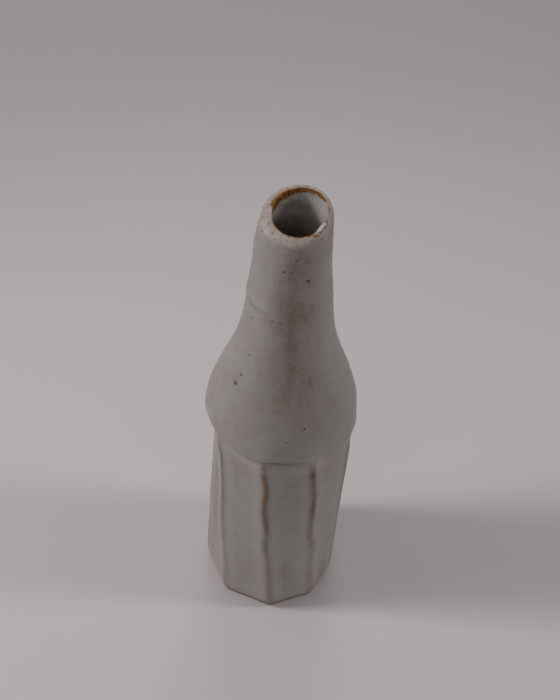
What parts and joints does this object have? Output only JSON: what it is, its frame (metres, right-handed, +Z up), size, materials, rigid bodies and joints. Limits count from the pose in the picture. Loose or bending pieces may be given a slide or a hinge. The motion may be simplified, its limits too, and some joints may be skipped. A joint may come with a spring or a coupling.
{
  "type": "bud vase",
  "caption": "Tall hand-made stoneware bud vase with a faceted body, a round shoulder and a narrow neck with a slanted rim, for a single stem.",
  "frame": {"origin": "middle of the foot, on the surface that the vase stands on", "axes": "+Z up along the vase's axis; the slanted rim is lowest towards -Y, the front"},
  "size_m": [0.057, 0.057, 0.205],
  "materials": {
    "stoneware": "bare fired iron-bearing stoneware",
    "matt_glaze": "matt off-white glaze, brown where it breaks on edges",
    "liner_glaze": "satin off-white liner glaze"
  },
  "bodies": {
    "root": {"faceted_body": "stoneware", "shoulder_and_neck": "stoneware", "outer_glaze": "matt_glaze", "liner_glaze": "liner_glaze"}
  },
  "joints": []
}
